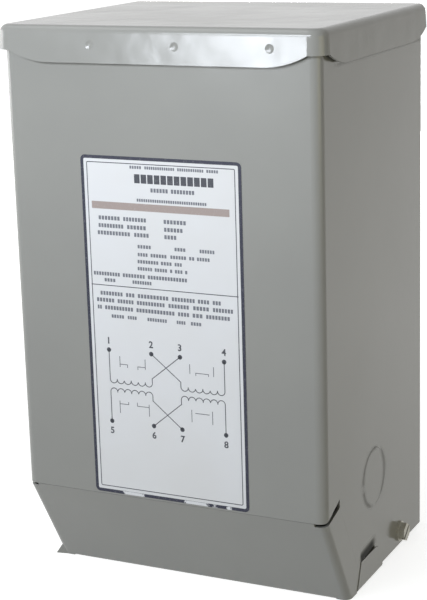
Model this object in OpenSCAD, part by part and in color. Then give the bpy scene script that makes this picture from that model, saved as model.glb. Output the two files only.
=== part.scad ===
// Small dry-type buck-boost transformer in a folded sheet-steel wall case.
// The front faces -Y, +X is on its right, and the floor is at z = 0.

/* [Case] */
// Width of the case over its side panels
case_w = 152; // [130:1:190]
// Depth of the case from its front panel to its rear flanges
case_d = 128; // [116:1:160]
// Height from the floor to the top of the cover
total_h = 263; // [220:1:340]
// Thickness of the folded sheet
sheet_t = 1.2; // [0.9:0.1:1.6]
// Outside radius of the case's front folds
fold_r = 4.5; // [3:0.5:7]
// Width of the flanges that the sides turn in along the back
rear_flange_w = 18; // [12:1:28]
// Height of the side panels' lower edges above the floor
side_edge_z = 2; // [1.8:0.1:4]

/* [Top cover] */
// Thickness of the cover's sheet
cover_t = 1.2; // [0.9:0.1:1.6]
// Gap between the case and the lip of the cover
cover_gap = 1.1; // [0.6:0.1:2]
// Height of the lip, up to the top of the cover
lip_h = 16; // [10:0.5:26]
// Outside radius of the fold between the cover's top and its lip
cover_fold_r = 3.5; // [2:0.5:6]
// Distance that the lip leans out at its lower edge
lip_lean = 0.9; // [0:0.1:1.5]
// Rise of the lip's lower edge at the corners
lip_rise = 5; // [1:0.5:7]
// Length over which that edge rises beside each corner
lip_rise_run = 20; // [10:1:40]
// Places of the spot-weld dimples along the front lip
weld_x = [-30, 11, 55]; // [-60:1:60]
// Radius of a spot-weld dimple
weld_r = 2; // [1:0.1:3]
// Depth of a spot-weld dimple
weld_depth = 0.4; // [0.2:0.1:0.6]

/* [Sloped front] */
// Height of the seam under the front panel
seam_z = 47.5; // [36:0.5:60]
// Gap along that seam
seam_gap = 0.12; // [0.05:0.01:0.5]
// Distance that the slope runs back from the front panel to its foot
slope_run = 28; // [15:1:40]
// Outside radius of the folds along the slope's edges
slope_fold_r = 3.5; // [2.5:0.1:5]
// Height of the tongue that laps behind the front panel
tongue_h = 10; // [5:1:16]
// Width of the relief slit at each end of the seam
slit_w = 1.8; // [1:0.1:2.4]
// Width of that slit at its end in the side panel
slit_end_w = 4; // [1:0.1:5]
// Reach of the slit along the side panel
slit_side = 17; // [12:1:20]
// Climb of the slit along the side panel
slit_rise = 4; // [1:0.5:6]
// Gap behind the rear edge of each cheek, which is dressed flush with the side panel
cheek_gap = 0.03; // [0.02:0.01:0.3]
// Width of the strip that laps the cheek and the side panel inside
cheek_lap = 14; // [8:1:16]
// Width of the flange turned in along the foot of the slope
foot_flange_w = 18; // [14:1:24]
// Width of that flange's front part, which stands on the floor
foot_front_w = 5; // [4:0.5:7]
// Run over which it then rises to lap the bottom cover
foot_rise_run = 3; // [2:0.5:4]
// Outward reach, height and length of the left cheek's bent toe
toe = [3.2, 5, 5]; // [1:0.1:8]

/* [Bottom cover] */
// Radius of the bottom cover's folds
tray_fold_r = 2.5; // [2:0.1:3]
// Clearance between the bottom cover's flanges and the side panels
tray_gap = 0.1; // [0.05:0.05:0.5]
// Height of the outside flanges, which lie in notches of the side panels
flange_h = 13.4; // [10:0.1:18]
// Distance from the front panel to the foot of each outside flange
flange_start = 37.5; // [36:0.1:46]
// Lean of that front edge over the flange's height
flange_lean = 5.4; // [0:0.1:6]
// Distance from the front panel to the rear end of each outside flange
flange_end = 71; // [66:0.5:78]
// Distance that each outside flange stands proud of the side panel
flange_proud = 0.3; // [0:0.1:1]
// Radius of the flange's upper rear corner
flange_corner_r = 10; // [5:0.5:10]
// Gap round the flange in its notch
flange_gap = 0.1; // [0.05:0.01:0.4]
// Width to which the gap over the flange opens towards the rear
flange_wedge = 1.7; // [0.2:0.1:2]
// Height of the inside flanges that take the cover screws
inner_flange_h = 17; // [15:0.5:22]

/* [Knockouts] */
// Radius of the conduit knockout in each side panel
knockout_r = 14.1; // [10:0.1:18]
// Width of the sheared line round the knockout
knockout_gap = 0.35; // [0.2:0.05:0.6]
// Distance of its centre behind the front panel
knockout_y = 60.6; // [54:0.1:76]
// Height of its centre
knockout_z = 49.3; // [36:0.1:56]
// Width of the ties that hold the slug
tie_w = 4; // [2:0.5:6]
// Places of the ties round the knockout
tie_angles = [75, 190, 292]; // [0:1:360]

/* [Cover screws] */
// Radius of the thread
screw_r = 2.4; // [2:0.1:3]
// Clearance round the thread
screw_clear = 0.2; // [0.1:0.05:0.4]
// Width of the hexagon across its flats
hex_w = 8; // [7:0.1:10]
// Height of the hexagon over the washer
hex_h = 3; // [2:0.1:4]
// Radius of the washer face
washer_r = 5; // [4.7:0.1:6]
// Thickness of the washer face
washer_t = 1; // [0.6:0.1:1.5]
// Length of the screw under its washer face
screw_len = 10; // [6:0.5:16]
// Width of the driver slot
driver_slot_w = 1.3; // [0.8:0.1:1.6]
// Depth of the driver slot
driver_slot_d = 1.6; // [0.8:0.1:1.8]
// Distance of the screw behind the front panel
screw_y = 95.5; // [86:0.5:104]
// Height of the screw
screw_z = 9; // [8:0.1:11]

/* [Back panel] */
// Thickness of the mounting plate that closes the back
back_t = 3.2; // [1.5:0.1:4]
// Distance between the left and right mounting holes
mount_w = 70; // [50:1:90]
// Height of the lower mounting holes
mount_low_z = 28; // [20:1:40]
// Distance from the cover's lip down to the bolts in the keyholes
keyhole_down = 29; // [16:1:50]
// Radius of the mounting holes and of the keyholes' necks
mount_hole_r = 3.5; // [2.5:0.1:4.5]
// Radius of each keyhole's entry
keyhole_r = 7; // [6:0.1:9]
// Drop from the bolt in the neck to the centre of the entry
keyhole_drop = 13; // [11:0.5:18]
// Room for bolt heads between the back panel and the potted core
head_room = 14; // [8:1:24]

/* [Potted core] */
// Height of the wiring space under the core
core_z = 72; // [68:1:100]
// Gap between the core and the top of the case
core_top_gap = 6; // [2:1:20]

/* [Hidden] */
$fn = 64;

// Extra reach of a cutting shape past the face that it cuts
over = 1;
// Play left where the cover's fold comes nearest to the case
fold_play = 0.05;
// Steps in which a fold between slanting runs is turned
fold_steps = 12;
// Play between the foot flange and the bottom cover under it
foot_play = 0.05;
// Inside radius of the tight folds along the back and under the outside flanges
tight_fold_in_r = 0.2;
// Gap between the back panel and the lip above it
back_gap = 0.5;

paint = "#8f918f";
zinc = "#b8b096";
resin = "#3a3a38";

half_w = case_w / 2;
front_y = -case_d / 2;
rear_y = case_d / 2;
overhang = cover_gap + cover_t;
cover_w = case_w + 2 * overhang;
cover_d = case_d + 2 * overhang;
tight_fold_r = sheet_t + tight_fold_in_r;
cover_front_r = fold_r + overhang;
cover_rear_r = max(tight_fold_r + overhang, cover_fold_r + over);
lip_z = total_h - lip_h;

// The cover's fold curves in over the case, so the case stops just under that curve.
fold_in_r = cover_fold_r - cover_t;
fold_reach = max(0, fold_in_r - cover_gap);
fold_drop = fold_in_r - sqrt(fold_in_r * fold_in_r - fold_reach * fold_reach);
case_top = total_h - cover_t - fold_drop - fold_play;

// The slope runs from the seam to the floor, at this angle from upright.
slope_top = seam_z - seam_gap;
foot_y = front_y + slope_run;
slope_angle = atan2(slope_run, slope_top);
slope_len = norm([slope_run, slope_top]);
panel_half_w = half_w - slope_fold_r - 2 * over;

tray_in_x = half_w - sheet_t - tray_gap;
knockout_at = [front_y + knockout_y, knockout_z];
screw_at = [front_y + screw_y, screw_z];

function unit(v) = v / norm(v);
function left_of(d) = [-d[1], d[0]];
function turn(a, b) = a[0] * b[1] - a[1] * b[0];

// Outside radius of the fold at point i, where r is one radius for all folds or a list
function radius_at(r, i) = is_list(r) ? r[i] : r;

// Radius of a fold on the path's own face: the outside of a left turn, the inside of a right one
function face_r(a, b, t, r) = turn(a, b) > 0 ? r : r - t;

// Length that the fold at point i takes off the straight runs on both sides of it
function setback(p, i, t, r) =
    i == 0 || i == len(p) - 1 ? 0 :
    let (a = unit(p[i] - p[i - 1]), b = unit(p[i + 1] - p[i]))
    face_r(a, b, t, radius_at(r, i)) * tan(acos(a * b) / 2);

// Direction from the centre of the fold at point i to the start of that fold, and the centre itself
function fold_out(p, i) =
    let (a = unit(p[i] - p[i - 1]), b = unit(p[i + 1] - p[i]))
    -sign(turn(a, b)) * left_of(a);
function fold_centre(p, i, t, r) =
    let (a = unit(p[i] - p[i - 1]), b = unit(p[i + 1] - p[i]))
    p[i] - setback(p, i, t, r) * a - face_r(a, b, t, radius_at(r, i)) * fold_out(p, i);

// Section of a folded sheet whose outer face follows the path p, with the metal on its left
module folded_sheet(p, t, r) {
    for (i = [0:len(p) - 2]) {
        d = unit(p[i + 1] - p[i]);
        from = p[i] + setback(p, i, t, r) * d;
        to = p[i + 1] - setback(p, i + 1, t, r) * d;
        polygon([from, to, to + t * left_of(d), from + t * left_of(d)]);
    }
    for (i = [1:len(p) - 2]) {
        u = fold_out(p, i);
        b = unit(p[i + 1] - p[i]);
        v = -sign(turn(p[i] - p[i - 1], b)) * left_of(b);
        outer = radius_at(r, i);
        translate(fold_centre(p, i, t, r)) intersection() {
            difference() {
                circle(outer);
                circle(outer - t);
            }
            polygon([[0, 0], 2 * outer * u, 2 * outer * (u + v), 2 * outer * v]);
        }
    }
}

// Points of one face of a folded sheet at point i of its path: off is 0 on the path, t on the other face
function face_points(p, i, t, r, off) =
    i == 0 ? [p[0] + off * left_of(unit(p[1] - p[0]))] :
    i == len(p) - 1 ? [p[i] + off * left_of(unit(p[i] - p[i - 1]))] :
    let (
        a = unit(p[i] - p[i - 1]),
        b = unit(p[i + 1] - p[i]),
        side = sign(turn(a, b)),
        u = fold_out(p, i),
        from = atan2(u[1], u[0]),
        sweep = side * acos(a * b),
        radius = side > 0 ? r - off : r - t + off
    )
    [for (k = [0:fold_steps])
        let (at = from + sweep * k / fold_steps)
        fold_centre(p, i, t, r) + radius * [cos(at), sin(at)]];

// The same section where runs slant: one outline whose folds are turned in steps
module slanting_sheet(p, t, r) {
    last = len(p) - 1;
    polygon([
        for (i = [0:last]) each face_points(p, i, t, r, 0),
        for (i = [last:-1:0])
            let (face = face_points(p, i, t, r, t))
            each [for (k = [len(face) - 1:-1:0]) face[k]]
    ]);
}

// Extrudes a (y, z) outline from x0 to x1
module along_x(x0, x1) {
    translate([x0, 0, 0]) rotate([90, 0, 90]) linear_extrude(x1 - x0) children();
}

// Extrudes an (x, z) outline from y0 to y1
module along_y(y0, y1) {
    translate([0, y1, 0]) rotate([90, 0, 0]) linear_extrude(y1 - y0) children();
}

// Draws its child on the right side and its mirror image on the left
module both_sides() {
    for (side = [0, 1]) mirror([side, 0, 0]) children();
}

// A hole or rod of radius r across a side panel, from x0 to x1 at a (y, z) place
module across(at, r, x0, x1) {
    translate([x0, at[0], at[1]]) rotate([0, 90, 0]) cylinder(r = r, h = x1 - x0);
}

// Y of the cheek's rear edge at height z: parallel to the slope
function cheek_y(z) = front_y + slit_side + (seam_z + slit_rise - slit_w - z) * tan(slope_angle);

// Outline in (y, z) of a cheek, or with grow = 1 of the notch that the case has for it
module cheek_outline(grow) {
    slit_z = seam_z - slit_w;
    rise = grow * slit_w;
    rear = grow * cheek_gap;
    low = -grow * over;
    polygon([
        [front_y - over, slit_z + rise],
        [front_y + fold_r / 2, slit_z + rise],
        if (grow > 0) [front_y + slit_side + rear, slit_z + slit_rise + slit_end_w],
        [front_y + slit_side + rear, slit_z + slit_rise],
        [cheek_y(low) + rear, low],
        [front_y - over, low]
    ]);
}

// Outline in (y, z) of an outside flange with its leaning front edge and round rear corner
module flange_outline(grow) {
    start = front_y + flange_start - grow;
    end = front_y + flange_end + grow;
    top = flange_h + grow;
    corner = [front_y + flange_end - flange_corner_r, flange_h - flange_corner_r];
    difference() {
        polygon([[start, -over], [end, -over], [end, top], [start + flange_lean, top], [start, 0]]);
        difference() {
            translate(corner) square(flange_corner_r + over);
            translate(corner) circle(flange_corner_r + grow);
        }
    }
}

// Shape that cuts the notch for the right outside flange, with the wedge that gapes over the flange
module flange_notch() {
    gape_y = front_y + flange_end - flange_corner_r;
    along_x(half_w - sheet_t - over, half_w + over) {
        flange_outline(flange_gap);
        polygon([
            [front_y + flange_start + flange_lean, flange_h], [gape_y, flange_h],
            [gape_y, flange_h + flange_wedge]
        ]);
    }
}

// Front and sides: one sheet folded round, with flanges turned in along the back
module case() {
    flange_x = half_w - rear_flange_w;
    color(paint) difference() {
        translate([0, 0, side_edge_z]) linear_extrude(case_top - side_edge_z)
            folded_sheet([
                [-flange_x, rear_y], [-half_w, rear_y], [-half_w, front_y],
                [half_w, front_y], [half_w, rear_y], [flange_x, rear_y]
            ], sheet_t, [0, tight_fold_r, fold_r, fold_r, tight_fold_r, 0]);
        along_x(-half_w - over, half_w + over) cheek_outline(1);
        both_sides() {
            flange_notch();
            across(knockout_at, knockout_r, half_w - sheet_t - over, half_w + over);
            across(screw_at, screw_r + screw_clear, half_w - sheet_t - over, half_w + over);
        }
    }
}

// One keyhole: the neck round the bolt, the entry below it and the slot between them
module keyhole() {
    circle(mount_hole_r);
    translate([0, -keyhole_drop]) circle(keyhole_r);
    translate([-mount_hole_r, -keyhole_drop]) square([2 * mount_hole_r, keyhole_drop]);
}

// Heavier plate that closes the back and hangs on the wall
module back_panel() {
    plate_w = case_w - 2 * fold_r;
    color(paint) along_y(rear_y, rear_y + back_t) difference() {
        translate([-plate_w / 2, 0]) square([plate_w, lip_z - back_gap]);
        for (side = [-1, 1]) {
            translate([side * mount_w / 2, mount_low_z]) circle(mount_hole_r);
            translate([side * mount_w / 2, lip_z - keyhole_down]) keyhole();
        }
    }
}

// Section of the cover's lip and fold, with x = 0 on the outer face, as far in as a corner of radius r
module lip_section(r) {
    slanting_sheet([[lip_lean, lip_z], [0, total_h], [over / 4 - r, total_h]], cover_t, cover_fold_r);
}

// Shape that cuts one end of a lip back in an arc, for a lip that runs along x to a corner of radius r at x1
module lip_cut(x1, r) {
    arc_r = (lip_rise_run * lip_rise_run + lip_rise * lip_rise) / (2 * lip_rise);
    difference() {
        translate([x1 - lip_rise_run, lip_z - over])
            square([lip_rise_run + r + lip_lean + over, lip_rise + over]);
        translate([x1 - lip_rise_run, lip_z + arc_r]) circle(arc_r);
    }
}

// Flat top of the cover, a little larger than the space inside the four lips
module cover_plate() {
    front_x = cover_w / 2 - cover_front_r + over;
    rear_x = cover_w / 2 - cover_rear_r + over / 2;
    start = cover_front_r - over - cover_d / 2;
    end = cover_d / 2 - cover_rear_r + over / 2;
    translate([0, 0, total_h - cover_t]) linear_extrude(cover_t) polygon([
        [-front_x, start], [front_x, start], [front_x, 0], [rear_x, 0],
        [rear_x, end], [-rear_x, end], [-rear_x, 0], [-front_x, 0]
    ]);
}

// Cap with a folded lip on all four sides, cut back at its corners and spot-welded to the case
module top_cover() {
    front_half_w = cover_w / 2 - cover_front_r;
    rear_half_w = cover_w / 2 - cover_rear_r;
    side_start = cover_front_r - cover_d / 2;
    side_end = cover_d / 2 - cover_rear_r;
    weld_ball_r = (weld_r * weld_r + weld_depth * weld_depth) / (2 * weld_depth);
    skin = overhang + fold_reach + over;
    color(paint) difference() {
        union() {
            cover_plate();
            both_sides() {
                translate([cover_w / 2, 0, 0]) along_y(side_start, side_end) lip_section(cover_front_r);
                for (flip = [0, 1]) mirror([0, flip, 0]) {
                    r = flip > 0 ? cover_front_r : cover_rear_r;
                    translate([cover_w / 2 - r, cover_d / 2 - r, 0]) rotate_extrude(angle = 90)
                        translate([r, 0]) lip_section(r);
                }
            }
            for (flip = [0, 1]) mirror([0, flip, 0]) {
                half = flip > 0 ? front_half_w : rear_half_w;
                translate([0, cover_d / 2, 0]) rotate([0, 0, 90])
                    along_y(-half, half) lip_section(cover_front_r);
            }
        }
        both_sides() for (flip = [0, 1]) mirror([0, flip, 0]) {
            r = flip > 0 ? cover_front_r : cover_rear_r;
            along_y(cover_d / 2 - skin, cover_d / 2 + lip_lean + over) lip_cut(cover_w / 2 - r, r);
            along_x(cover_w / 2 - skin, cover_w / 2 + lip_lean + over) lip_cut(cover_d / 2 - r, r);
        }
        for (x = weld_x)
            translate([x, -(cover_d + lip_lean) / 2 + weld_depth - weld_ball_r, lip_z + lip_h / 2])
                sphere(weld_ball_r);
    }
}

// Places its child in the slope's own frame: y runs in from its face, z up along it from its foot
module on_slope() {
    translate([0, foot_y, 0]) rotate([slope_angle, 0, 0]) children();
}

// A place behind and above the foot of the slope, in the slope's own frame
function in_slope(y, z) = [
    y * cos(slope_angle) + z * sin(slope_angle),
    z * cos(slope_angle) - y * sin(slope_angle)
];

// The sloped panel, folded in at its foot to a flange that rises and laps the bottom cover
module slope_panel() {
    lap_z = sheet_t + foot_play;
    along_x(-panel_half_w, panel_half_w) slanting_sheet([
        [0, slope_len + over], [0, 0], in_slope(foot_front_w, 0),
        in_slope(foot_front_w + foot_rise_run, lap_z), in_slope(foot_flange_w, lap_z)
    ], sheet_t, tray_fold_r);
}

// The right edge of the slope, folded back into the plane of the side panel
module slope_edge() {
    reach = 2 * (slit_side + slit_rise);
    translate([0, 0, -reach]) linear_extrude(slope_len + 2 * reach)
        folded_sheet([[panel_half_w - over, 0], [half_w, 0], [half_w, reach]], sheet_t, slope_fold_r);
}

// Tongue that laps behind the front panel, rooted in the middle of the sloped sheet
module slope_tongue() {
    drop = sheet_t / tan(slope_angle);
    root_z = slope_top + sheet_t / 2 / sin(slope_angle) - drop;
    tongue_half_w = panel_half_w - 2 * over;
    along_x(-tongue_half_w, tongue_half_w) polygon([
        [front_y + sheet_t, seam_z + tongue_h], [front_y + 2 * sheet_t, seam_z + tongue_h],
        [front_y + 2 * sheet_t, root_z - drop], [front_y + sheet_t, root_z]
    ]);
}

// Outline in (y, z) of a strip along the cheek's rear edge, from one distance behind it to another
module beside_cheek(from, to) {
    low = flange_h + 2 * over;
    high = seam_z - 2 * slit_w;
    polygon([
        [cheek_y(low) + from, low], [cheek_y(low) + to, low],
        [cheek_y(high) + to, high], [cheek_y(high) + from, high]
    ]);
}

// Strip inside the right cheek, rooted in its sheet, that laps the side panel behind it
module cheek_strip() {
    along_x(half_w - 2 * sheet_t, half_w - sheet_t) beside_cheek(-cheek_lap / 2, cheek_lap / 2);
    along_x(half_w - 2 * sheet_t, half_w - sheet_t / 2) beside_cheek(over - cheek_lap / 2, -over);
}

// Toe of the left cheek: its lower front corner, bent out to a point
module bent_toe() {
    grain = over / 4;
    root_x = sheet_t / 4 - half_w;
    hull() {
        translate([-half_w - toe[0], foot_y - over, 0]) cube(grain);
        translate([root_x, foot_y - over, toe[1]]) cube(grain);
        translate([root_x, foot_y + toe[2], 0]) cube(grain);
        translate([slope_fold_r - half_w, foot_y + grain, 0]) cube(grain);
    }
}

// Sloped panel under the front, folded back into a cheek on both sides
module sloped_front() {
    color(paint) {
        intersection() {
            on_slope() slope_panel();
            translate([-half_w, front_y - over, -over]) cube([case_w, case_d, slope_top + over]);
        }
        both_sides() {
            difference() {
                intersection() {
                    on_slope() slope_edge();
                    along_x(0, half_w + over) cheek_outline(0);
                }
                flange_notch();
            }
            cheek_strip();
        }
        slope_tongue();
        bent_toe();
    }
}

// Right outside flange: folded up into its notch in the side panel
module outside_flange() {
    out_x = half_w + flange_proud;
    intersection() {
        along_y(front_y + flange_start, front_y + flange_end)
            folded_sheet([[0, 0], [out_x, 0], [out_x, flange_h]], sheet_t, tight_fold_r);
        along_x(0, case_w) flange_outline(0);
    }
}

// Bottom cover: flanges outside the case in front, and inside it behind for the screws
module bottom_cover() {
    panel_start = foot_y + foot_front_w + foot_rise_run + over / 2;
    inside_start = front_y + flange_end + over;
    inside_end = rear_y - sheet_t - tray_gap;
    color(paint) difference() {
        union() {
            translate([-tray_in_x + tray_fold_r, panel_start, 0])
                cube([2 * (tray_in_x - tray_fold_r), rear_y - tray_gap - panel_start, sheet_t]);
            both_sides() outside_flange();
            along_y(inside_start, inside_end) folded_sheet([
                [-tray_in_x, inner_flange_h], [-tray_in_x, 0],
                [tray_in_x, 0], [tray_in_x, inner_flange_h]
            ], sheet_t, tray_fold_r);
        }
        both_sides()
            across(screw_at, screw_r + screw_clear / 2, tray_in_x - sheet_t - over, tray_in_x + over);
    }
}

// Slug of a knockout: a disc in the plane of the side panel, held by short ties
module knockout() {
    slug_r = knockout_r - knockout_gap;
    tie_reach = sqrt(knockout_r * knockout_r - tie_w * tie_w / 4) - fold_play;
    color(paint) {
        across(knockout_at, slug_r, half_w - sheet_t, half_w);
        for (a = tie_angles)
            translate([half_w - sheet_t, knockout_at[0], knockout_at[1]]) rotate([a, 0, 0])
                translate([0, 0, -tie_w / 2]) cube([sheet_t, tie_reach, tie_w]);
    }
}

// Slotted screw with a hexagon head and a washer face, driven in from the side
module cover_screw() {
    hex_r = hex_w / 2 / cos(30);
    head_x = half_w + washer_t + hex_h;
    color(zinc) difference() {
        union() {
            across(screw_at, screw_r, half_w - screw_len, half_w + washer_t);
            across(screw_at, washer_r, half_w, half_w + washer_t);
            translate([half_w + washer_t, screw_at[0], screw_at[1]]) rotate([0, 90, 0])
                cylinder(r = hex_r, h = hex_h, $fn = 6);
        }
        translate([head_x - driver_slot_d, screw_at[0], screw_at[1]]) rotate([35, 0, 0])
            translate([0, -hex_r - over, -driver_slot_w / 2])
                cube([driver_slot_d + over, 2 * (hex_r + over), driver_slot_w]);
    }
}

// Core and coil cast in resin, filling the case above the wiring space
module potted_core() {
    core_w = case_w - 2 * sheet_t;
    core_d = case_d - 2 * sheet_t - head_room;
    color(resin) translate([-core_w / 2, front_y + sheet_t, core_z])
        linear_extrude(case_top - core_top_gap - core_z) {
            translate([fold_r, 0]) square([core_w - 2 * fold_r, core_d]);
            translate([0, fold_r]) square([core_w, core_d - fold_r]);
            for (x = [fold_r, core_w - fold_r]) translate([x, fold_r]) circle(fold_r);
        }
}

case();
back_panel();
top_cover();
sloped_front();
bottom_cover();
knockout();  // right_knockout
mirror([1, 0, 0]) knockout();  // left_knockout
cover_screw();  // right_cover_screw
mirror([1, 0, 0]) cover_screw();  // left_cover_screw
potted_core();
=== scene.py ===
"""Looks of a small dry-type buck-boost transformer in a folded sheet-steel wall case.

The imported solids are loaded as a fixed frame, and each of them gets its real finish here. The printed
label on the front panel and the paint in the line round each knockout are modelled. Lengths are in
metres, the front faces -Y, +X is on its right and the floor is at z = 0.
"""

import logging
import math
from dataclasses import dataclass
from enum import Enum
from functools import cached_property

import bpy
from mathutils import Matrix, Vector


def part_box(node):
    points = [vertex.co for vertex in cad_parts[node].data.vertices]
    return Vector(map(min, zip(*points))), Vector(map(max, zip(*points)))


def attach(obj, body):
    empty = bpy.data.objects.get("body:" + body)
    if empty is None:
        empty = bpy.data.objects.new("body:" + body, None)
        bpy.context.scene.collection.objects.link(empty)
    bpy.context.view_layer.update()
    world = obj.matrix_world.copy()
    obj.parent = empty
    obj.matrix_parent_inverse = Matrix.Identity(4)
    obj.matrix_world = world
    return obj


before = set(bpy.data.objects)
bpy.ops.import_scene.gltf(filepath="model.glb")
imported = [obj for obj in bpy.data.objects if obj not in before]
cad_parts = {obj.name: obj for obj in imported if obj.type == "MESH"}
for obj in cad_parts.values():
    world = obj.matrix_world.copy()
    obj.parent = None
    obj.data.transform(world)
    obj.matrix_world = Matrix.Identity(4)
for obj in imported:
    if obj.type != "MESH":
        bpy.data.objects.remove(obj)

Socket = bpy.types.NodeSocket
Piece = bpy.types.Object
Pair = tuple[float, float]
Point = tuple[float, float]
Place = tuple[float, float, float]
Inputs = dict[str | int, object]

LOG = logging.getLogger("transformer")
MM = 0.001
BODY = "root"
QUARTER_TURN = math.pi / 2
WHITE = (1, 1, 1, 1)

# Numbers of the sockets that a Mix node has for colours, because their names aren't unique.
SHARE = 0
FROM = 6
TO = 7
MIXED = 2


class Tone(Enum):
    """Colours of surfaces as sRGB hex values."""

    ENAMEL = "#92928d"
    ENAMEL_DUSTY = "#989892"
    ZINC = "#a6a59e"
    ZINC_YELLOW = "#999480"
    ZINC_DULL = "#8a8981"
    RESIN = "#2b2b29"
    RESIN_SAND = "#55524b"
    FILM = "#e4e5e6"
    FILM_AGED = "#e0e0df"
    # Painted shade: the dark colour laid where shade falls in grooves, over the bottom flanges and under the
    # lip.
    GRIME = "#21211e"
    NAVY = "#171b31"
    TAN = "#a3958f"
    CHARCOAL = "#3a3d45"
    GREY_INK = "#6d7078"
    FLOOR = "#c9cac7"
    FLOOR_CLOUDY = "#c3c4c1"


class Tint(Enum):
    """Colours of lamps as linear red, green and blue."""

    PLAIN = (1.0, 1.0, 1.0)
    COOL = (0.94, 0.99, 1.07)
    WARM = (1.0, 0.86, 0.34)


class Side(Enum):
    """Which way the bows of a drawn winding hang from its line."""

    DOWN = -1
    UP = 1


class Panel(Enum):
    """The two side panels, by the sign of x."""

    RIGHT = 1
    LEFT = -1


def linear(tone: Tone) -> tuple[float, float, float, float]:
    """Turns an sRGB hex colour into the linear colour that a shader takes.

    Args:
        tone: The colour.

    Returns:
        Red, green, blue and alpha from 0 to 1.
    """
    parts = [int(tone.value[i : i + 2], 16) / 255 for i in (1, 3, 5)]
    red, green, blue = (c / 12.92 if c <= 0.04045 else ((c + 0.055) / 1.055) ** 2.4 for c in parts)
    return red, green, blue, 1.0


@dataclass
class Nodes:
    """The shader nodes of one material or of the surroundings.

    Attributes:
        tree: The node tree.
    """

    tree: bpy.types.NodeTree

    @cached_property
    def place(self) -> Socket:
        """Object coordinates."""
        return self.add("TexCoord", output="Object")

    @cached_property
    def axes(self) -> bpy.types.NodeOutputs:
        """Object coordinates, one by one."""
        return self.add("SeparateXYZ", {0: self.place}).node.outputs

    def add(self, kind: str, inputs: Inputs | None = None, output: str | int = 0, **settings: str) -> Socket:
        """Adds one node with its settings and links.

        Args:
            kind: Blender's name of the node's type, after the word ShaderNode.
            inputs: What goes into each input.
            output: Name or number of the output that is wanted.
            **settings: Values of the node's own properties.

        Returns:
            That output of the new node.
        """
        node = self.tree.nodes.new(f"ShaderNode{kind}")
        for name, value in settings.items():
            setattr(node, name, value)
        self.fill(node, inputs or {})
        return node.outputs[output]

    def fill(self, node: bpy.types.Node, inputs: Inputs) -> None:
        """Fills the inputs of a node.

        Args:
            node: The node.
            inputs: Value of, colour of or socket linked to each input, by its name or number.
        """
        for name, value in inputs.items():
            if isinstance(value, Socket):
                self.tree.links.new(value, node.inputs[name])
            else:
                node.inputs[name].default_value = linear(value) if isinstance(value, Tone) else value

    def shown_rays(self) -> Socket:
        """Tells rays that show a surface from rays that only carry light.

        Returns:
            A socket that is 1 for what the eye, a reflection or a clear piece shows, and 0 elsewhere.
        """
        rays = self.add("LightPath").node.outputs
        shown = rays["Is Camera Ray"]
        for other in ("Is Glossy Ray", "Is Transmission Ray"):
            shown = self.add("Math", {0: shown, 1: rays[other]}, operation="MAXIMUM")
        return shown


@dataclass(frozen=True)
class Finish:
    """One surface finish, made as a procedural material.

    Attributes:
        name: Common name of the material and how its surface was made.
        slot: Material slot of the record that it belongs to; not used by this script.
    """

    name: str
    slot: str

    def material(self) -> bpy.types.Material:
        """Makes the material, or returns the one made before.

        Returns:
            The material with its nodes.
        """
        made = bpy.data.materials.get(self.name)
        if made:
            return made
        material = bpy.data.materials.new(self.name)
        material.use_nodes = True
        nodes = Nodes(material.node_tree)
        nodes.fill(nodes.tree.nodes["Principled BSDF"], self.paint(nodes))
        return material

    def paint(self, nodes: Nodes) -> Inputs:
        """Draws the finish; each kind of finish has its own.

        Args:
            nodes: Nodes of the material.

        Returns:
            The inputs of its shader.
        """
        raise NotImplementedError

    def dress(self, piece: Piece) -> None:
        """Gives a piece this finish as its only material."""
        piece.data.materials.clear()
        piece.data.materials.append(self.material())


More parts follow.
